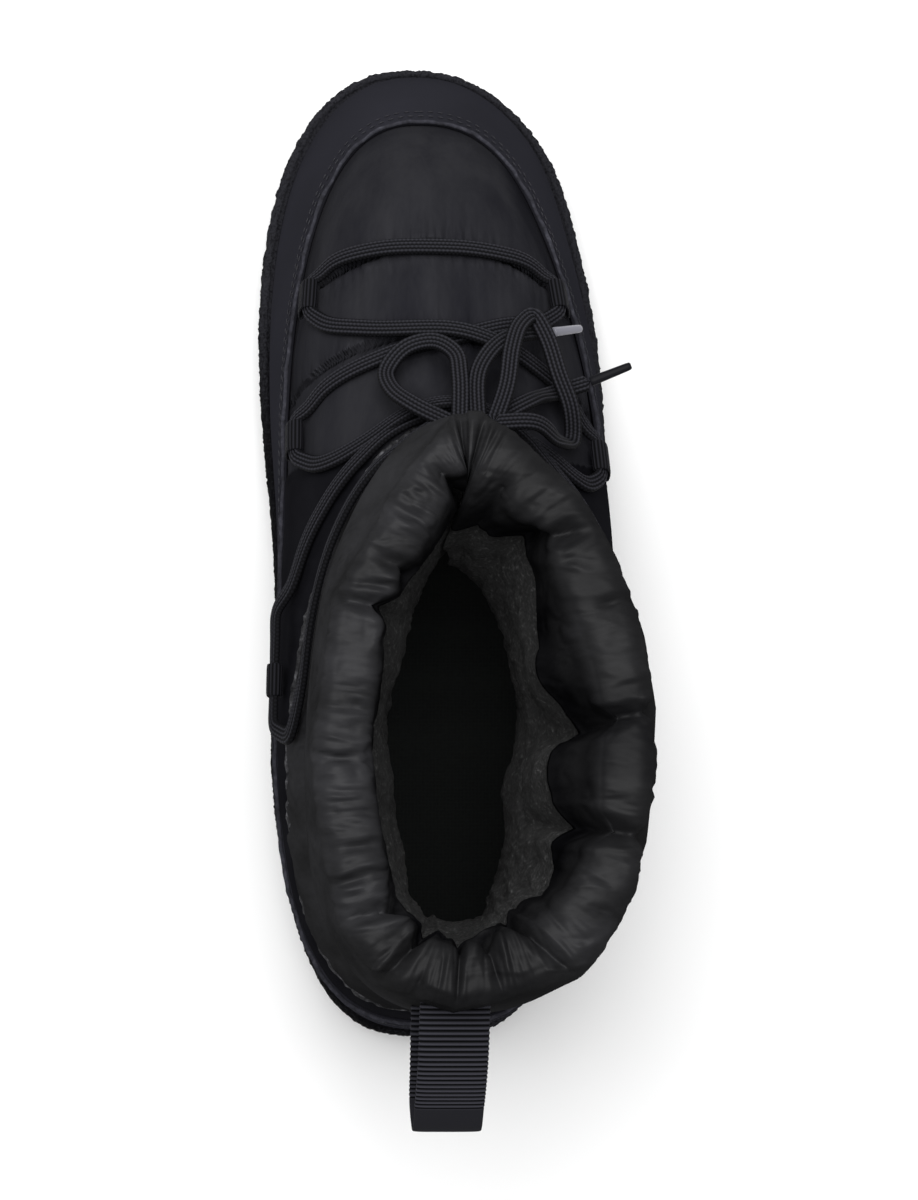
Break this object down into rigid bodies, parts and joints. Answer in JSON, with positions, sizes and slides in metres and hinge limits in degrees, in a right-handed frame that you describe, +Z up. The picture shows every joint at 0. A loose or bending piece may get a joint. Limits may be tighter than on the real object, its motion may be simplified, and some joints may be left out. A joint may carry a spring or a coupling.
{
  "type": "winter boot",
  "caption": "Ankle-high padded snow boot for the right foot with a rolled collar, smooth rand, rubber lug sole, side lace tabs with a tied bow and a heel pull loop.",
  "frame": {"origin": "on the ground under the middle of the heel's flat tread block", "axes": "+X to the outer side of the foot, +Y from heel to toe, +Z up"},
  "size_m": [0.1033, 0.2997, 0.1876],
  "materials": {
    "sole_rubber": "matte black moulded rubber, rough side",
    "footbed": "black flat textile footbed",
    "padded_nylon": "satin black padded nylon",
    "coated_rand": "smooth matte coated black",
    "webbing": "ribbed black webbing",
    "lace_braid": "flat black braid",
    "aglet_plastic": "clear grey lace tip"
  },
  "bodies": {
    "root": {"aglet_inner": "aglet_plastic", "aglet_outer": "aglet_plastic", "insole": "footbed", "lace": "lace_braid", "lace_end_inner": "lace_braid", "lace_end_outer": "lace_braid", "lace_knot": "lace_braid", "lace_loop_inner": "lace_braid", "lace_loop_outer": "lace_braid", "lace_tab_inner_ankle": "webbing", "lace_tab_inner_front": "webbing", "lace_tab_inner_middle": "webbing", "lace_tab_outer_ankle": "webbing", "lace_tab_outer_front": "webbing", "lace_tab_outer_middle": "webbing", "outsole": "sole_rubber", "pull_loop": "webbing", "rand": "coated_rand", "upper": "padded_nylon"}
  },
  "joints": []
}
